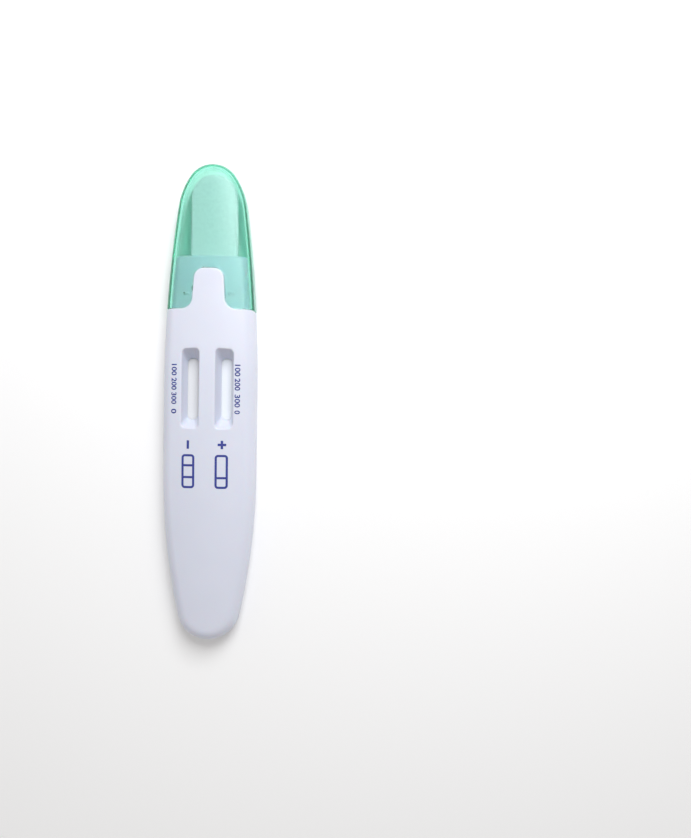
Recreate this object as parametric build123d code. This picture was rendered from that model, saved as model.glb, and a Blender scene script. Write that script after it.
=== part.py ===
from build123d import *
import os
from math import asin, cos, degrees, sin, sqrt, tan

# Lateral flow cassette in the form of a hand-held test stick, in millimetres.
# The origin is the centre of the footprint on the table, +Y runs to the tip of the cap, +X to the right
# of the window face and +Z up from the table to the window face.

# Outer form, shared by the housing and the cap
overall_length = 144.6
body_width = 27.6
thickness = 11.5
straight_side_length = 27.0
tail_to_straight_side = 50.3
tip_radius = 8.2
shoulder_radius = 22.0
tip_swell = 1.475
tail_radius = 9.5
crown_radius = 50.0
crest_shift = 5.0
tip_drop = 2.67
top_round = 4.0
bottom_round = 2.5

# Housing shells
parting_height = 5.0
shell_wall = 1.5
rim_round = 0.3
lap_height = 0.8
lap_wall = 0.7
lap_clearance = 0.08
lap_setback = 4.0
parting_groove = 0.15

# Cap and the neck that it is pushed over
cap_length = 44.5
cap_wall = 1.1
cap_clearance = 0.15
shoulder_gap = 0.15
neck_length = 16.0
neck_wall = 1.25
neck_front_round = 0.9

# Raised tongue on the neck and the cut-out in the cap that fits round it
tongue_length = 12.0
tongue_root_width = 10.1
tongue_end_width = 8.7
tongue_corner = 3.1
tongue_clearance = 0.12
cut_out_flare = 3.2
edge_round = 0.2

# Snap pips on the neck and the pockets under the cap that they rest in
pip_setback = 4.4
pip_offset = 6.4
pip_length = 2.0
pip_width = 1.0
pip_height = 0.12
pip_relief = 0.1

# Read windows
window_setback = 23.9
window_pitch = 10.2
window_width = 5.5
window_length = 24.2
window_corner = 1.4
window_foot_width = 3.2
window_foot_length = 18.5
window_wall = 1.1
window_foot_gap = 0.3
window_rim_round = 0.45

# Test strips, laid face up on their ribs
strip_width = 4.0
card_height = 5.9
card_thickness = 0.3
card_front_setback = 6.4
card_length = 62.4
membrane_thickness = 0.15
membrane_length = 26.6
conjugate_length = 12.0
conjugate_thickness = 0.4
sample_pad_length = 17.0
sample_pad_thickness = 0.8
absorbent_length = 19.6
absorbent_thickness = 1.2
pad_overlap = 2.0
step_run = 0.35
membrane_shift = 0.1

# Collection sponge
sponge_width = 14.2
sponge_thickness = 3.2
sponge_corner = 7.0
sponge_tip_gap = 3.1
sponge_root_gap = 0.2
sponge_shift = 0.5
sponge_slot_side = 1.1
sponge_slot_height_gap = 0.25

# Ribs, rails and posts inside the housing
rib_thickness = 0.9
rail_clearance = 0.15
rail_height_above_card = 0.1
rib_pitch = 10.2
press_bar_thickness = 1.0
press_gap = 0.1
post_radius = 1.8
pin_radius = 0.9
pin_clearance = 0.03
pin_length = 2.2
pin_lead = 0.3
socket_depth_gap = 0.3
post_wall_gap = 0.3
rib_root = 0.25
stiffener_height = 4.4
stiffener_pitch = 10.0

# Depth of the skin in which an edge counts as one of the outer surface, and the gap between equal places
skin_depth = 0.2
same_place = 0.01

# Places worked out from the sizes above
tip_y = overall_length / 2
tail_y = -overall_length / 2
rear_side_y = tail_y + tail_to_straight_side
front_side_y = rear_side_y + straight_side_length
crest_y = crest_shift
tip_run = tip_y - crest_y
length_crown_radius = (tip_run**2 + tip_drop**2) / (2 * tip_drop)
mouth_y = tip_y - cap_length
shoulder_y = mouth_y - shoulder_gap
neck_end_y = mouth_y + neck_length
neck_inset = cap_wall + cap_clearance
neck_cavity_inset = neck_inset + neck_wall
window_y = mouth_y - window_setback
card_top = card_height + card_thickness
membrane_top = card_top + membrane_thickness
window_foot_z = membrane_top + window_foot_gap
card_front_y = mouth_y + card_front_setback
card_rear_y = card_front_y - card_length
strip_x = window_pitch / 2
membrane_y = window_y + membrane_shift
membrane_front_y = membrane_y + membrane_length / 2
membrane_rear_y = membrane_y - membrane_length / 2
conjugate_front_y = membrane_front_y - pad_overlap + conjugate_length
sample_rear_y = conjugate_front_y - pad_overlap
sponge_root_y = card_front_y + sponge_root_gap
sponge_tip_y = tip_y - sponge_tip_gap
sponge_floor = card_top - sponge_thickness
reach = overall_length
front_run = tip_y - tip_radius - front_side_y
front_taper = body_width / 2 - tip_radius - tip_swell
front_side_radius = (front_run**2 + front_taper**2) / (2 * front_taper)


def tangent_arc(centre, radius, start, end):
    middle = centre + ((start - centre) + (end - centre)).normalized() * radius
    return ThreePointArc(start, middle, end)


def outline(inset):
    """Plan of the stick, drawn in from its edge by inset: five tangent arcs and one line on each side."""
    half_width = body_width / 2
    rear_run = rear_side_y - (tail_y + tail_radius)
    rear_side_radius = (rear_run**2 + half_width**2 - tail_radius**2) / (2 * (half_width - tail_radius))
    tail_centre = Vector(0, tail_y + tail_radius)
    rear_centre = Vector(half_width - rear_side_radius, rear_side_y)
    front_centre = Vector(half_width - front_side_radius, front_side_y)
    tip_centre = Vector(0, tip_y - tip_radius)
    to_tip = shoulder_radius - tip_radius
    to_front = front_side_radius - shoulder_radius
    span = tip_centre - front_centre
    along = (to_front**2 - to_tip**2 + span.length**2) / (2 * span.length)
    across = sqrt(to_front**2 - along**2)
    line = span.normalized()
    shoulder_centre = front_centre + line * along + Vector(line.Y, -line.X) * across
    tail_end = rear_centre + (tail_centre - rear_centre).normalized() * (rear_side_radius - inset)
    rear_end = Vector(half_width - inset, rear_side_y)
    front_end = Vector(half_width - inset, front_side_y)
    shoulder_start = front_centre + (shoulder_centre - front_centre).normalized() * (front_side_radius - inset)
    tip_start = shoulder_centre + (tip_centre - shoulder_centre).normalized() * (shoulder_radius - inset)
    half = Curve() + [
        tangent_arc(tail_centre, tail_radius - inset, Vector(0, tail_y + inset), tail_end),
        tangent_arc(rear_centre, rear_side_radius - inset, tail_end, rear_end),
        Line(rear_end, front_end),
        tangent_arc(front_centre, front_side_radius - inset, front_end, shoulder_start),
        tangent_arc(shoulder_centre, shoulder_radius - inset, shoulder_start, tip_start),
        tangent_arc(tip_centre, tip_radius - inset, tip_start, Vector(0, tip_y - inset)),
    ]
    return make_face((half + mirror(half, Plane.YZ)).edges())


def face_height(x, y, inset=0.0):
    """Height of the crowned window face, or of the surface that lies inset below it."""
    across = crown_radius - inset
    drop = across - sqrt(across**2 - x**2)
    around = length_crown_radius - inset - drop
    return thickness - length_crown_radius + sqrt(around**2 - (y - crest_y) ** 2)


def crown(inset):
    """Everything under the window face, which is crowned across the stick and, much less, along it."""
    radius = crown_radius - inset
    half = body_width / 2 + thickness / 2
    side = thickness - inset - radius + sqrt(radius**2 - half**2)
    foot = -thickness
    lean = asin(half / radius)
    handle = 4 / 3 * tan(lean / 2) * radius
    inner_x = half - handle * cos(lean)
    inner_z = side + handle * sin(lean)
    arc = Bezier(
        (-half, crest_y, side), (-inner_x, crest_y, inner_z), (inner_x, crest_y, inner_z), (half, crest_y, side)
    )
    section = make_face(
        [
            arc,
            Line((half, crest_y, side), (half, crest_y, foot)),
            Line((half, crest_y, foot), (-half, crest_y, foot)),
            Line((-half, crest_y, foot), (-half, crest_y, side)),
        ]
    )
    axis = Axis((0, crest_y, thickness - length_crown_radius), (1, 0, 0))
    swing = degrees(asin(reach / length_crown_radius))
    return revolve(section.rotate(axis, -swing), axis, 2 * swing)


def envelope(inset):
    """The whole rounded outer form, drawn in from its surface by inset."""
    block = extrude(Pos(0, 0, inset) * outline(inset), 2 * thickness) & crown(inset)
    top = block.edges().filter_by(Axis.Z, reverse=True).filter_by(lambda e: (e @ 0.5).Z > parting_height)
    block = fillet(top, max(top_round - inset, rim_round))
    bottom = block.edges().filter_by(lambda e: abs((e @ 0.5).Z - inset) < same_place)
    return fillet(bottom, max(bottom_round - inset, rim_round))


def slab(y_low, y_high, z_low=None, z_high=None):
    """A block right across the stick between two stations, used to part the rounded form."""
    low = -reach if z_low is None else z_low
    high = reach if z_high is None else z_high
    size = (2 * body_width, y_high - y_low, high - low)
    return Pos(0, (y_low + y_high) / 2, (low + high) / 2) * Box(*size)


def tongue_plan(base_y, grow=0.0):
    """Plan of the tongue: it narrows to its rounded end, and its root flares into a straight line at base_y."""
    root = tongue_root_width / 2 + grow
    end = tongue_end_width / 2 + grow
    end_y = mouth_y + tongue_length + grow
    plan = make_face(Polyline((-root, base_y), (root, base_y), (end, end_y), (-end, end_y), close=True))
    plan = fillet(plan.vertices().sort_by(Axis.Y)[-2:], tongue_corner + grow)
    plan += Pos(0, base_y - reach / 2) * Rectangle(2 * reach, reach)

    def at_foot(corner):
        return abs(corner.X) < root + edge_round and abs(corner.Y - base_y) < edge_round

    return fillet(plan.vertices().filter_by(at_foot), cut_out_flare + tongue_clearance - grow)


def raised(plan):
    """A plan drawn up through the window face from a level inside the neck."""
    return extrude(Pos(0, 0, parting_height + neck_wall) * plan, thickness)


def mouth_edges(shape, base_y, skin):
    """The outer edge of a mouth at base_y, on round a tongue or its cut-out."""
    beside = tongue_root_width / 2 + tongue_clearance + cut_out_flare
    beyond = mouth_y + tongue_length + tongue_clearance + edge_round

    def on_mouth(edge):
        middle = edge @ 0.5
        in_plane = abs(middle.Y - base_y) < same_place
        round_tongue = abs(middle.X) < beside and base_y < middle.Y < beyond
        return (in_plane or round_tongue) and not skin.is_inside(middle)

    return shape.edges().filter_by(on_mouth)


def rim_edges(shape, tool, skin):
    """Edges where a cut by tool meets the outer surface; skin is that surface drawn in a little."""

    def on_rim(edge):
        middle = edge @ 0.5
        return tool.distance_to(Vertex(*middle)) < same_place and not skin.is_inside(middle)

    return shape.edges().filter_by(on_rim)


def pip(side, grow=0.0):
    """A snap pip: a low bar across the neck's window face. Grown a little, it is the cap's pocket."""
    x = side * pip_offset
    y = mouth_y + pip_setback
    tilt = side * degrees(asin(pip_offset / (crown_radius - neck_inset)))
    bar_radius = (pip_height**2 + (pip_width / 2) ** 2) / (2 * pip_height)
    centre_z = face_height(x, y, neck_inset) + pip_height - bar_radius
    seat = Pos(x, y, centre_z) * Rot(0, tilt, 0)
    return seat * Rot(0, 90, 0) * Cylinder(bar_radius + grow, pip_length + 2 * grow)


def make_cap(outer, inner, skin):
    """The cap is one thin moulding, open at its mouth, with the cut-out that fits round the tongue."""
    shell = outer & (slab(mouth_y, reach) - raised(tongue_plan(mouth_y, tongue_clearance)))
    shell -= inner
    shell = fillet(mouth_edges(shell, mouth_y, skin), edge_round)
    for side in (-1, 1):
        shell -= pip(side, pip_relief)
    return shell


def housing_form(outer, wells, skin):
    """Outside of the closed housing: the body with its tongue and wells, the neck under the cap, the pips."""
    body = outer & (slab(-reach, shoulder_y) + raised(tongue_plan(shoulder_y)))
    body = fillet(mouth_edges(body, shoulder_y, skin), rim_round)
    for well in wells:
        body -= well
        body = fillet(rim_edges(body, well, skin), window_rim_round)
    neck = envelope(neck_inset) & slab(shoulder_y - shell_wall, neck_end_y)
    front = neck.faces().filter_by(Axis.Y).sort_by(Axis.Y)[-1].outer_wire()
    form = body + fillet(front.edges(), neck_front_round)
    for side in (-1, 1):
        form += pip(side)
    return form


def housing_hollow():
    """The room inside the housing: one stretch in the body and a smaller one in the neck."""
    body = envelope(shell_wall) & slab(-reach, shoulder_y - shell_wall)
    neck = envelope(neck_cavity_inset) & slab(mouth_y - neck_length, neck_end_y - neck_wall)
    return body + neck


def window_block(side, grow=0.0):
    """The sloped well of one read window, or with a wall grown round it, the funnel that carries it."""
    low = window_foot_z
    high = thickness
    foot_x, top_x = window_foot_width / 2 + grow, window_width / 2 + grow
    foot_y, top_y = window_foot_length / 2 + grow, window_length / 2 + grow
    across = Polyline((-foot_x, 0, low), (foot_x, 0, low), (top_x, 0, high), (-top_x, 0, high), close=True)
    along = Polyline((0, -foot_y, low), (0, foot_y, low), (0, top_y, high), (0, -top_y, high), close=True)
    block = extrude(make_face(across), top_y, dir=(0, 1, 0), both=True)
    block &= extrude(make_face(along), top_x, dir=(1, 0, 0), both=True)
    corners = block.edges().filter_by(lambda e: abs((e @ 0.5).Z - (low + high) / 2) < same_place)
    return Pos(side * strip_x, window_y) * fillet(corners, window_corner + grow)


def post_places():
    """Plan of the posts that pin the two shells together: beside the strips, between them and in the tail."""
    side_x = body_width / 2 - shell_wall - post_radius - post_wall_gap
    front_y = window_y + window_length / 2 - post_radius
    rear_y = card_rear_y + 2 * post_radius
    tail_post_y = tail_y + tail_radius + shell_wall
    tail_pair_y = (tail_post_y + card_rear_y) / 2
    tail_pair_x = tail_radius - shell_wall
    return [
        (-side_x, front_y),
        (side_x, front_y),
        (-side_x, rear_y),
        (side_x, rear_y),
        (0, sample_rear_y),
        (-tail_pair_x, tail_pair_y),
        (tail_pair_x, tail_pair_y),
        (0, tail_post_y),
    ]


def ceiling_root(x, y):
    """Height, a little inside the wall over a place, from which a post, bar or funnel hangs."""
    inset = shell_wall if y < shoulder_y - shell_wall else neck_cavity_inset
    return face_height(x, y, inset) + rib_root


def standing_rib(x_low, x_high, y_low, y_high, top):
    """A rib rooted in the floor, which is higher in the neck than in the body."""
    step_y = shoulder_y - shell_wall
    spans = ((y_low, min(y_high, step_y), shell_wall), (max(y_low, step_y), y_high, neck_cavity_inset))
    solids = []
    for low, high, floor in spans:
        if high > low:
            foot = floor - rib_root
            middle = ((x_low + x_high) / 2, (low + high) / 2, (foot + top) / 2)
            solids.append(Pos(*middle) * Box(x_high - x_low, high - low, top - foot))
    return solids


def upright(radius, place, z_low, z_high):
    return Pos(place[0], place[1], (z_low + z_high) / 2) * Cylinder(radius, z_high - z_low)


def press_bars():
    """Bars under the window face that hold the strips down at their pads."""
    conjugate_top = card_top + conjugate_thickness
    sample_top = card_top + sample_pad_thickness
    absorbent_top = card_top + absorbent_thickness
    middle = (membrane_front_y + sample_rear_y) / 2
    absorbent_y = membrane_rear_y + pad_overlap - absorbent_length / 2
    bars = [
        (middle, conjugate_top),
        (conjugate_front_y + pad_overlap, sample_top),
        (sample_rear_y + sample_pad_length - pad_overlap, sample_top),
        (absorbent_y + absorbent_length / 4, absorbent_top),
        (absorbent_y - absorbent_length / 4, absorbent_top),
    ]
    width = window_pitch + strip_width
    solids = []
    for y, level in bars:
        low = level + press_gap
        high = ceiling_root(0, y)
        solids.append(Pos(0, y, (low + high) / 2) * Box(width, press_bar_thickness, high - low))
    return solids


def sponge_slot():
    width = sponge_width + 2 * sponge_slot_side
    height = sponge_thickness + 2 * sponge_slot_height_gap
    middle = sponge_floor + sponge_thickness / 2
    return Pos(0, neck_end_y, middle) * Box(width, 4 * neck_wall, height)


def lap_ring(clearance):
    """Step in the parting line along the body: the back shell's lip and the room for it in the front."""
    lip = outline(shell_wall - lap_wall - clearance) - outline(shell_wall + clearance)
    ring = extrude(Pos(0, 0, parting_height) * lip, lap_height + clearance)
    return ring & slab(-reach, shoulder_y - lap_setback + clearance)


def witness_groove():
    """Fine groove round the body just under the parting line, where the two shells meet."""
    around = Rectangle(2 * reach, 2 * reach) - outline(parting_groove)
    ring = extrude(Pos(0, 0, parting_height - parting_groove) * around, parting_groove)
    return ring & slab(-reach, shoulder_y)


def make_front_shell(form, hollow, wells):
    """Front half of the housing: windows with sloped wells, press bars, and posts that end in pins."""
    shell = form & slab(-reach, reach, parting_height)
    shell -= hollow
    inner = press_bars()
    for x, y in post_places():
        inner.append(upright(post_radius, (x, y), parting_height, ceiling_root(max(abs(x) - post_radius, 0), y)))
    funnel_top = ceiling_root(strip_x - window_width / 2 - window_wall, crest_y)
    for side in (-1, 1):
        inner.append((window_block(side, window_wall) & slab(-reach, reach, -reach, funnel_top)) - wells)
    shell += inner
    shell -= sponge_slot()
    shell -= lap_ring(lap_clearance)
    for place in post_places():
        pin = upright(pin_radius, place, parting_height - pin_length, parting_height + pin_length)
        shell += chamfer(pin.edges().sort_by(Axis.Z)[0], pin_lead)
    return shell


def strip_bed():
    """Rails at both sides of each strip, an end stop, and cross ribs that carry its card."""
    rail_top = card_top + rail_height_above_card
    inner_x = strip_width / 2 + rail_clearance
    outer_x = inner_x + rib_thickness
    stop_y = card_rear_y - rail_clearance
    count = int(card_length / rib_pitch)
    pitch = (card_length - 2 * rib_thickness) / count
    solids = []
    for x in (-strip_x, strip_x):
        for low, high in ((x - outer_x, x - inner_x), (x + inner_x, x + outer_x)):
            solids += standing_rib(low, high, stop_y - rib_thickness, card_front_y, rail_top)
        solids += standing_rib(x - inner_x, x + inner_x, stop_y - rib_thickness, stop_y, rail_top)
        for n in range(count):
            y = card_rear_y + rib_thickness + n * pitch
            solids += standing_rib(x - inner_x, x + inner_x, y - rib_thickness / 2, y + rib_thickness / 2, card_height)
    return solids


def sponge_bed():
    """The cross wall behind the sponge, which also carries the strips' front ends, and two ribs under it."""
    half = sponge_width / 2 + sponge_slot_side
    solids = standing_rib(-half, half, card_front_y - rib_thickness, card_front_y, card_height)
    room = neck_end_y - neck_wall - sponge_root_y
    for quarters in (1, 3):
        y = sponge_root_y + quarters * room / 4
        solids += standing_rib(-half, half, y - rib_thickness / 2, y + rib_thickness / 2, sponge_floor)
    return solids


def tail_stiffeners():
    """Low cross ribs in the floor of the grip, behind the strips."""
    plan = extrude(outline(shell_wall - rib_root), parting_height)
    half = body_width / 2
    solids = []
    y = card_rear_y - stiffener_pitch
    while y > tail_y + tail_radius:
        solids += [rib & plan for rib in standing_rib(-half, half, y, y + rib_thickness, stiffener_height)]
        y -= stiffener_pitch
    return solids


def make_back_shell(form, hollow):
    """Back half of the housing: strip bed, sponge bed, grip stiffeners, sockets and the lap lip."""
    shell = form & slab(-reach, reach, -reach, parting_height)
    shell -= hollow
    inner = strip_bed() + sponge_bed() + tail_stiffeners()
    inner += [upright(post_radius, place, shell_wall - rib_root, parting_height) for place in post_places()]
    inner.append(lap_ring(0))
    shell += inner
    shell -= sponge_slot()
    shell -= witness_groove()
    for place in post_places():
        depth = pin_length + socket_depth_gap
        shell -= upright(pin_radius + pin_clearance, place, parting_height - depth, parting_height + depth)
    return shell


def make_sponge():
    """The collection sponge: a flat bar of foam with a rounded tip, its root held in the neck."""
    length = sponge_tip_y - sponge_root_y
    plan = Pos(sponge_shift, sponge_root_y + length / 2) * Rectangle(sponge_width, length)
    plan = fillet(plan.vertices().sort_by(Axis.Y)[-2:], sponge_corner)
    return extrude(Pos(0, 0, sponge_floor) * plan, sponge_thickness)


def strip_slice(side, points):
    """One layer of a strip, from its side view: points are places along the stick and heights."""
    profile = make_face(Polyline([(0, y, z) for y, z in points], close=True))
    return extrude(Pos(side * strip_x, 0, 0) * profile, strip_width / 2, dir=(1, 0, 0), both=True)


def flat_layer(side, y_low, y_high, z_low, layer):
    return strip_slice(side, [(y_low, z_low), (y_high, z_low), (y_high, z_low + layer), (y_low, z_low + layer)])


def stepped_layer(side, y_high_end, y_step, y_low_end, z_low, lift, layer):
    """A pad that lies on the card and steps up by lift over the end of its neighbour."""
    away = step_run if y_low_end > y_step else -step_run
    points = [
        (y_high_end, z_low + lift),
        (y_step, z_low + lift),
        (y_step + away, z_low),
        (y_low_end, z_low),
        (y_low_end, z_low + layer),
        (y_step + away, z_low + layer),
        (y_step, z_low + lift + layer),
        (y_high_end, z_low + lift + layer),
    ]
    return strip_slice(side, points)


def make_strip(side):
    """One test strip: a backing card that carries the membrane and, lapped in order, its three pads."""
    conjugate_rear_y = membrane_front_y - pad_overlap
    absorbent_front_y = membrane_rear_y + pad_overlap
    return {
        "backing_card": flat_layer(side, card_rear_y, card_front_y, card_height, card_thickness),
        "membrane": flat_layer(side, membrane_rear_y, membrane_front_y, card_top, membrane_thickness),
        "conjugate_pad": stepped_layer(
            side, conjugate_rear_y, membrane_front_y, conjugate_front_y, card_top, membrane_thickness, conjugate_thickness
        ),
        "sample_pad": stepped_layer(
            side, sample_rear_y, conjugate_front_y, sample_rear_y + sample_pad_length, card_top,
            conjugate_thickness, sample_pad_thickness
        ),
        "absorbent_pad": stepped_layer(
            side, absorbent_front_y, membrane_rear_y, absorbent_front_y - absorbent_length, card_top,
            membrane_thickness, absorbent_thickness
        ),
    }


def build_nodes():
    outer = envelope(0)
    skin = envelope(skin_depth)
    wells = Part() + [window_block(side) for side in (-1, 1)]
    form = housing_form(outer, wells.solids(), skin)
    hollow = housing_hollow()
    nodes = {
        "cap": make_cap(outer, envelope(cap_wall), skin),
        "front_shell": make_front_shell(form, hollow, wells),
        "back_shell": make_back_shell(form, hollow),
        "collection_sponge": make_sponge(),
    }
    for name, side in (("left", -1), ("right", 1)):
        for layer, solid in make_strip(side).items():
            nodes[f"{name}_{layer}"] = solid
    return nodes


os.makedirs("parts", exist_ok=True)
for node, solid in build_nodes().items():
    export_step(solid, f"parts/{node}.step")
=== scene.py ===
from math import radians

import bmesh
import bpy
from mathutils import Euler, Matrix, Vector, noise
from mathutils.bvhtree import BVHTree


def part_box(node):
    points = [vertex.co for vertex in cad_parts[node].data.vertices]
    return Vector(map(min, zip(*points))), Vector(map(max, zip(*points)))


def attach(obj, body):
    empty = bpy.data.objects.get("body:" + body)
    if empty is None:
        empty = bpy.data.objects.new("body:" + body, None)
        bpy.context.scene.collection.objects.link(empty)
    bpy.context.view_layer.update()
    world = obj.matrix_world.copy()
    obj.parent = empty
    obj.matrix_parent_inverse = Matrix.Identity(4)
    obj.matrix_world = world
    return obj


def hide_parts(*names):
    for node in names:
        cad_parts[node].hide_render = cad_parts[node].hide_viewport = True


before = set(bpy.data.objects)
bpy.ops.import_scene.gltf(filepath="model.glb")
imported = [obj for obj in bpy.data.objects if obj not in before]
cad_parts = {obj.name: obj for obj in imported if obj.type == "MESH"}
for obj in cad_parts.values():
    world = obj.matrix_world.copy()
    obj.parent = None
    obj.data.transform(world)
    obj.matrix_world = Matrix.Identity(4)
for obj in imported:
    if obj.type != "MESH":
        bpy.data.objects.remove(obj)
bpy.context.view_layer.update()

# Housing: two white ABS mouldings, front and back, pressed together on pins. They leave the tool with a
# satin skin. The copies here have their loose triangles merged, so that the skin shades as one surface.
MERGE_DISTANCE = 2e-6
CORNER_ANGLE = radians(32)
HOUSING_WHITE = (0.67, 0.69, 0.79)
HOUSING_SHADES = ((0.66, 0.685, 0.785), (0.69, 0.71, 0.81))
HOUSING_SATIN = (0.30, 0.38)
DRIFT_STOPS = (0.3, 0.7)


def made_piece(form, name):
    """A piece of its own made from a finished form."""
    mesh = bpy.data.meshes.new(name)
    form.to_mesh(mesh)
    form.free()
    piece = bpy.data.objects.new(name, mesh)
    bpy.context.scene.collection.objects.link(piece)
    return piece


def moulded_skin(node, name):
    """One smooth skin made from a moulding's triangles, with its real corners kept crisp."""
    skin = bmesh.new()
    skin.from_mesh(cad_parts[node].data)
    bmesh.ops.remove_doubles(skin, verts=skin.verts, dist=MERGE_DISTANCE)
    piece = made_piece(skin, name)
    piece.data.shade_smooth()
    piece.data.set_sharp_from_angle(angle=CORNER_ANGLE)
    weigh = piece.modifiers.new("even_shading", "WEIGHTED_NORMAL")
    weigh.keep_sharp = True
    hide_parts(node)
    return piece


def finish(name, colour, roughness):
    """A material of one colour and gloss; returns it with its shader."""
    material = bpy.data.materials.new(name)
    material.use_nodes = True
    shader = material.node_tree.nodes["Principled BSDF"]
    shader.inputs["Base Color"].default_value = (*colour, 1)
    shader.inputs["Roughness"].default_value = roughness
    return material, shader


def noise_on_object(tree, scale, detail):
    """Noise laid out on the piece's own coordinates."""
    place = tree.nodes.new("ShaderNodeTexCoord")
    pattern = tree.nodes.new("ShaderNodeTexNoise")
    pattern.inputs["Scale"].default_value = scale
    pattern.inputs["Detail"].default_value = detail
    tree.links.new(place.outputs["Object"], pattern.inputs["Vector"])
    return pattern.outputs["Fac"]


def grain(material, shader, scale, strength, distance, detail=3):
    """A fine relief in the surface."""
    tree = material.node_tree
    bump = tree.nodes.new("ShaderNodeBump")
    bump.inputs["Strength"].default_value = strength
    bump.inputs["Distance"].default_value = distance
    tree.links.new(noise_on_object(tree, scale, detail), bump.inputs["Height"])
    tree.links.new(bump.outputs["Normal"], shader.inputs["Normal"])


def uneven(material, shader, socket, scale, low, high, detail=2):
    """Lets a colour or a value of the shader drift between low and high over the piece."""
    tree = material.node_tree
    drift = tree.nodes.new("ShaderNodeValToRGB")
    for point, stop, value in zip(drift.color_ramp.elements, DRIFT_STOPS, (low, high)):
        point.color = (*value, 1) if isinstance(value, tuple) else (value, value, value, 1)
        point.position = stop
    tree.links.new(noise_on_object(tree, scale, detail), drift.inputs["Fac"])
    tree.links.new(drift.outputs["Color"], shader.inputs[socket])


housing_white, shader = finish("housing_white", HOUSING_WHITE, roughness=0.34)
uneven(housing_white, shader, "Base Color", scale=45, low=HOUSING_SHADES[0], high=HOUSING_SHADES[1])
uneven(housing_white, shader, "Roughness", scale=260, low=HOUSING_SATIN[0], high=HOUSING_SATIN[1])
shader.inputs["Subsurface Weight"].default_value = 0.12
shader.inputs["Subsurface Scale"].default_value = 0.0015
grain(housing_white, shader, scale=9000, strength=0.06, distance=2e-5)
for node, name in (("front_shell", "front_moulding"), ("back_shell", "back_moulding")):
    moulding = moulded_skin(node, name)
    moulding.data.materials.append(housing_white)
    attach(moulding, "housing")

# Cap: one thin injection moulding in translucent mint plastic with a soft gloss. It is pushed over the neck
# and snaps on two pips, and the sponge and the neck show through it. The thicker the plastic that light
# passes, the more red it loses.
CAP_TINT = (0.985, 1.0, 1.0)
CAP_OPTICS = {
    "Transmission Weight": 1.0,
    "IOR": 1.2,
    "Specular IOR Level": 0.3,
    "Coat Weight": 0.15,
    "Coat Roughness": 0.3,
}
ABSORPTION = 290
PASSED_COLOUR = (0.0, 0.88, 0.66)
cap_mint, shader = finish("cap_mint", CAP_TINT, roughness=0.22)
for socket, value in CAP_OPTICS.items():
    shader.inputs[socket].default_value = value
tree = cap_mint.node_tree
depth = tree.nodes.new("ShaderNodeVolumeAbsorption")
depth.inputs["Color"].default_value = (*PASSED_COLOUR, 1)
depth.inputs["Density"].default_value = ABSORPTION
tree.links.new(depth.outputs["Volume"], tree.nodes["Material Output"].inputs["Volume"])
cap = moulded_skin("cap", "cap_moulding")
cap.data.materials.append(cap_mint)
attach(cap, "cap")

# Collection sponge: a tongue of fine open-cell foam with a round end, held in the mouth of the neck. It is
# cut from sheet, its edges are soft, and its skin is rough with pores.
SPONGE_END_ROUND = 0.0070
SPONGE_EDGE_ROUND = 0.0006
SPONGE_CLEARANCE = 0.0001
SPONGE_VOXEL = 0.00032
FLAT_ENOUGH = 0.9
PORE_SIZE = 0.00075
PORE_DEPTH = 0.00007
FINE_PORES = 2.1
FINE_PORE_SHARE = 0.5
FOAM_WHITE = (0.77, 0.78, 0.80)
FOAM_SHADES = ((0.74, 0.75, 0.77), (0.80, 0.81, 0.83))


def evaluated_mesh(piece):
    """The mesh that a piece has with its modifiers, or a text's outlines, worked out."""
    return bpy.data.meshes.new_from_object(piece.evaluated_get(bpy.context.evaluated_depsgraph_get()))


def soft_edges(form, edges, offset, segments):
    """Rounds some edges of a form."""
    bmesh.ops.bevel(
        form, geom=edges, offset=offset, segments=segments, profile=0.5, affect="EDGES", material=-1
    )


low, high = (Vector(corner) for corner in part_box("collection_sponge"))
middle = (low + high) / 2
span = high - low - Vector.Fill(3, 2 * SPONGE_CLEARANCE)
foam = bmesh.new()
bmesh.ops.create_cube(foam, size=1)
bmesh.ops.scale(foam, vec=span, verts=foam.verts)
uprights = [edge for edge in foam.edges if abs(edge.verts[0].co.z - edge.verts[1].co.z) > span.z / 2]
tip_edges = [edge for edge in uprights if all(corner.co.y > 0 for corner in edge.verts)]
soft_edges(foam, tip_edges, SPONGE_END_ROUND, segments=16)
flats = [face for face in foam.faces if abs(face.normal.z) > FLAT_ENOUGH]
rims = list({edge for face in flats for edge in face.edges})
soft_edges(foam, rims, SPONGE_EDGE_ROUND, segments=4)
bmesh.ops.translate(foam, vec=middle, verts=foam.verts)
sponge = made_piece(foam, "foam_sponge")
cells = sponge.modifiers.new("even_cells", "REMESH")
cells.mode = "VOXEL"
cells.voxel_size = SPONGE_VOXEL
even = evaluated_mesh(sponge)
sponge.modifiers.remove(cells)
sponge.data = even
foam = bmesh.new()
foam.from_mesh(even)
bmesh.ops.smooth_vert(foam, verts=foam.verts, factor=0.5, use_axis_x=True, use_axis_y=True, use_axis_z=True)
foam.normal_update()
for vertex in foam.verts:
    coarse = max(noise.noise(vertex.co / PORE_SIZE), 0)
    fine = max(noise.noise(vertex.co * FINE_PORES / PORE_SIZE), 0)
    vertex.co -= vertex.normal * PORE_DEPTH * (coarse + FINE_PORE_SHARE * fine)
foam.to_mesh(even)
foam.free()
even.shade_smooth()
foam_white, shader = finish("foam_white", FOAM_WHITE, roughness=0.9)
uneven(foam_white, shader, "Base Color", scale=1400, low=FOAM_SHADES[0], high=FOAM_SHADES[1], detail=4)
grain(foam_white, shader, scale=4200, strength=0.5, distance=6e-5, detail=5)
shader.inputs["Sheen Weight"].default_value = 0.15
even.materials.append(foam_white)
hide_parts("collection_sponge")
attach(sponge, "housing")

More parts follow.
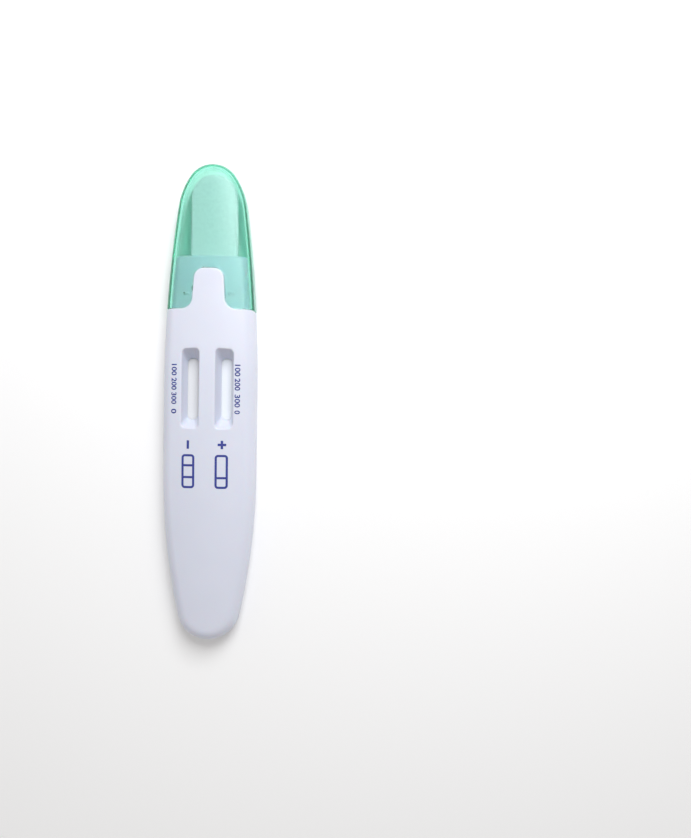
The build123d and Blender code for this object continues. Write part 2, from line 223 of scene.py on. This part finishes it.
# Test strips: a plastic card with the fibre pads and the read membrane glued to it, one under each window.
# The pads are cut felt with soft edges, and the membrane is a smooth matt film.
STRIP_TINTS = {"left": (0.87, 0.89, 0.92), "right": (0.94, 0.99, 1.06)}
STRIP_EDGE_ROUND = 0.00005
FIBRE_LIFT = 1.04
STRIP_FINISHES = {
    "backing_card": ("strip_card", (0.86, 0.86, 0.84), 0.5, 0),
    "sample_pad": ("pad_fibre", (0.86, 0.85, 0.80), 0.9, 3000),
    "conjugate_pad": ("pad_fibre", (0.84, 0.80, 0.78), 0.9, 3000),
    "membrane": ("membrane", (0.86, 0.85, 0.83), 0.7, 12000),
    "absorbent_pad": ("pad_fibre", (0.87, 0.86, 0.83), 0.9, 2200),
}
for side, tint in STRIP_TINTS.items():
    for part, (slot, plain, roughness, fibres) in STRIP_FINISHES.items():
        name = side + "_" + part
        colour = tuple(value * share for value, share in zip(plain, tint))
        paper, shader = finish(name + "_finish", colour, roughness)
        if fibres:
            pale = tuple(min(1.0, value * FIBRE_LIFT) for value in colour)
            uneven(paper, shader, "Base Color", scale=fibres / 4, low=colour, high=pale, detail=4)
            grain(paper, shader, scale=fibres, strength=0.35, distance=4e-5, detail=5)
        layer = moulded_skin(name, name + "_layer")
        layer.data.materials.append(paper)
        soften = layer.modifiers.new("cut_edges", "BEVEL")
        soften.width = STRIP_EDGE_ROUND
        soften.segments = 2
        soften.limit_method = "ANGLE"
        layer.modifiers.move(1, 0)
        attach(layer, "housing")

# Print: dark blue ink pad-printed on the window face. A scale of plain numerals stands beside each window,
# and below the windows a minus and a plus sign stand over two boxes that show how a strip reads.
INK_RISE = 0.00002
INK_DEPTH = 0.00004
INK_LINE = 0.00066
INK_NAVY = (0.034, 0.048, 0.26)
INK_SHADES = ((0.028, 0.040, 0.23), (0.042, 0.058, 0.30))
ABOVE_FACE = 0.03
face_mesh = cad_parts["front_shell"].data
face_tree = BVHTree.FromPolygons(
    [vertex.co for vertex in face_mesh.vertices], [polygon.vertices for polygon in face_mesh.polygons]
)
ink, shader = finish("ink_navy", INK_NAVY, roughness=0.42)
uneven(ink, shader, "Base Color", scale=900, low=INK_SHADES[0], high=INK_SHADES[1], detail=3)


def lay_ink(flat, name):
    """Drops a flat mark, drawn in the plan of the stick, on the window face and gives it the ink's body."""
    for vertex in flat.verts:
        start = Vector((vertex.co.x, vertex.co.y, ABOVE_FACE))
        hit = face_tree.ray_cast(start, Vector((0, 0, -1)))[0]
        vertex.co.z = hit.z + INK_RISE
    bmesh.ops.solidify(flat, geom=flat.faces[:], thickness=INK_DEPTH)
    bmesh.ops.recalc_face_normals(flat, faces=flat.faces)
    mark = made_piece(flat, name)
    mark.data.materials.append(ink)
    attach(mark, "housing")


def add_bar(flat, x, y, width, length):
    """One ink bar of a mark, by its centre and its size in the plan."""
    made = bmesh.ops.create_grid(flat, x_segments=4, y_segments=4, size=0.5)["verts"]
    bmesh.ops.scale(flat, vec=(width, length, 1), verts=made)
    bmesh.ops.translate(flat, vec=(x, y, 0), verts=made)


SIGN_SPAN = 0.0025
SIGN_LINE = 1.1 * INK_LINE
SIGN_Y = -0.01275
SIGN_X = {"minus": -0.00545, "plus": 0.00465}
for name, x in SIGN_X.items():
    sign = bmesh.new()
    add_bar(sign, x, SIGN_Y, SIGN_LINE, SIGN_SPAN)
    if name == "plus":
        arm = (SIGN_SPAN - SIGN_LINE) / 2
        for direction in (-1, 1):
            add_bar(sign, x + direction * (SIGN_LINE + arm) / 2, SIGN_Y, arm, SIGN_LINE)
    lay_ink(sign, name + "_sign")

BOX_WIDTH = 0.0039
BOX_LENGTH = 0.0101
BOX_CORNER = 0.0010
BOX_CENTRES = {"minus": (-0.0054, -0.02065), "plus": (0.0045, -0.02075)}
BOX_BARS = {"minus": (-0.0189, -0.0224), "plus": (-0.0226,)}
for name, (x, y) in BOX_CENTRES.items():
    outline = bmesh.new()
    bmesh.ops.create_grid(outline, x_segments=1, y_segments=1, size=0.5)
    bmesh.ops.scale(outline, vec=(BOX_WIDTH, BOX_LENGTH, 1), verts=outline.verts)
    corners = outline.verts[:]
    bmesh.ops.bevel(
        outline, geom=corners, offset=BOX_CORNER, segments=8, profile=0.5, affect="VERTICES", material=-1
    )
    bmesh.ops.inset_region(
        outline, faces=outline.faces[:], thickness=INK_LINE, use_boundary=True, use_even_offset=True
    )
    field = max(outline.faces, key=lambda face: len(face.verts))
    bmesh.ops.delete(outline, geom=[field], context="FACES_ONLY")
    bmesh.ops.translate(outline, vec=(x, y, 0), verts=outline.verts)
    for bar_y in BOX_BARS[name]:
        add_bar(outline, x, bar_y, BOX_WIDTH - 2 * INK_LINE, INK_LINE)
    long_edges = [edge for edge in outline.edges if edge.calc_length() > BOX_CORNER]
    bmesh.ops.subdivide_edges(outline, edges=long_edges, cuts=6, use_grid_fill=True)
    lay_ink(outline, name + "_box")

NUMERAL_HEIGHT = 0.0016
NUMERAL_WEIGHT = 0.022
NUMERAL_X = {"left": -0.0099, "right": 0.00895}
NUMERAL_ENDS = {
    "left": {
        "100": (0.0111, 0.0077),
        "200": (0.0070, 0.0034),
        "300": (0.0027, -0.0008),
        "0": (-0.0022, -0.0036),
    },
    "right": {
        "100": (0.0111, 0.0076),
        "200": (0.0070, 0.0034),
        "300": (0.0022, -0.0016),
        "0": (-0.0025, -0.0036),
    },
}
for side, numerals in NUMERAL_ENDS.items():
    for text, (start_y, end_y) in numerals.items():
        letters = bpy.data.curves.new("numeral_" + text, "FONT")
        letters.body = text
        letters.resolution_u = 4
        letters.offset = NUMERAL_WEIGHT
        drawn = bpy.data.objects.new("numeral_" + text, letters)
        bpy.context.scene.collection.objects.link(drawn)
        shape = evaluated_mesh(drawn)
        bpy.data.objects.remove(drawn)
        numeral = bmesh.new()
        numeral.from_mesh(shape)
        across = [vertex.co.x for vertex in numeral.verts]
        upright = [vertex.co.y for vertex in numeral.verts]
        centre = Vector(((min(across) + max(across)) / 2, (min(upright) + max(upright)) / 2, 0))
        bmesh.ops.translate(numeral, vec=-centre, verts=numeral.verts)
        length_share = (start_y - end_y) / (max(across) - min(across))
        height_share = NUMERAL_HEIGHT / (max(upright) - min(upright))
        bmesh.ops.scale(numeral, vec=(length_share, height_share, 1), verts=numeral.verts)
        bmesh.ops.rotate(numeral, matrix=Matrix.Rotation(radians(-90), 3, "Z"), verts=numeral.verts)
        bmesh.ops.translate(numeral, vec=(NUMERAL_X[side], (start_y + end_y) / 2, 0), verts=numeral.verts)
        lay_ink(numeral, side + "_numeral_" + text)

# Floor: a plain white studio floor under the stick, lit a little from within so that it stays even. The
# hair's breadth under the stick is the air over an uneven floor, and it lets light under the clear cap.
FLOOR_SIZE = 12.0
FLOOR_DROP = 0.0001
FLOOR_WHITE = (0.93, 0.93, 0.93)
FLOOR_GLOW = 0.04
floor_form = bmesh.new()
bmesh.ops.create_grid(floor_form, x_segments=1, y_segments=1, size=FLOOR_SIZE / 2)
bmesh.ops.translate(floor_form, vec=(0, 0, -FLOOR_DROP), verts=floor_form.verts)
floor = made_piece(floor_form, "studio_floor")
floor_white, shader = finish("floor_white", FLOOR_WHITE, roughness=0.8)
shader.inputs["Emission Color"].default_value = (1, 1, 1, 1)
shader.inputs["Emission Strength"].default_value = FLOOR_GLOW
floor.data.materials.append(floor_white)

# Studio light: a soft box near the head of the stick on the right, a weaker one on the left, and a pale room.
ROOM_COLOUR = (1.0, 0.975, 0.955)
ROOM_STRENGTH = 0.47


def soft_box(name, place, width, length, power, colour=(1, 1, 1)):
    """A rectangular area light at place, turned to face the middle of the stick."""
    data = bpy.data.lights.new(name, "AREA")
    data.shape = "RECTANGLE"
    data.size = width
    data.size_y = length
    data.energy = power
    data.color = colour
    box = bpy.data.objects.new(name, data)
    box.location = place
    box.rotation_euler = (-Vector(place)).to_track_quat("-Z", "Y").to_euler()
    bpy.context.scene.collection.objects.link(box)


soft_box("head_box", (0.10, 0.25, 0.31), width=0.2, length=0.24, power=1.5, colour=(0.965, 0.98, 1.0))
soft_box("left_box", (-0.5, 0.1, 0.5), width=0.4, length=0.6, power=0.15)
world = bpy.data.worlds.new("white_room")
world.use_nodes = True
background = world.node_tree.nodes["Background"]
background.inputs["Color"].default_value = (*ROOM_COLOUR, 1)
background.inputs["Strength"].default_value = ROOM_STRENGTH
bpy.context.scene.world = world
bpy.context.scene.view_settings.view_transform = "Standard"

# Camera: hand-held close above the stick and beside it, looking straight down.
CAMERA_PLACE = (0.0411, -0.0046, 0.208)
CAMERA_TURN = radians(0.74)
CAMERA_LENS = 28.6
CAMERA_SENSOR = 36
CAMERA_NEAR = 0.01
lens = bpy.data.cameras.new("camera")
lens.lens = CAMERA_LENS
lens.sensor_width = CAMERA_SENSOR
lens.clip_start = CAMERA_NEAR
camera = bpy.data.objects.new("camera", lens)
camera.location = CAMERA_PLACE
camera.rotation_euler = Euler((0, 0, CAMERA_TURN))
bpy.context.scene.collection.objects.link(camera)
bpy.context.scene.camera = camera
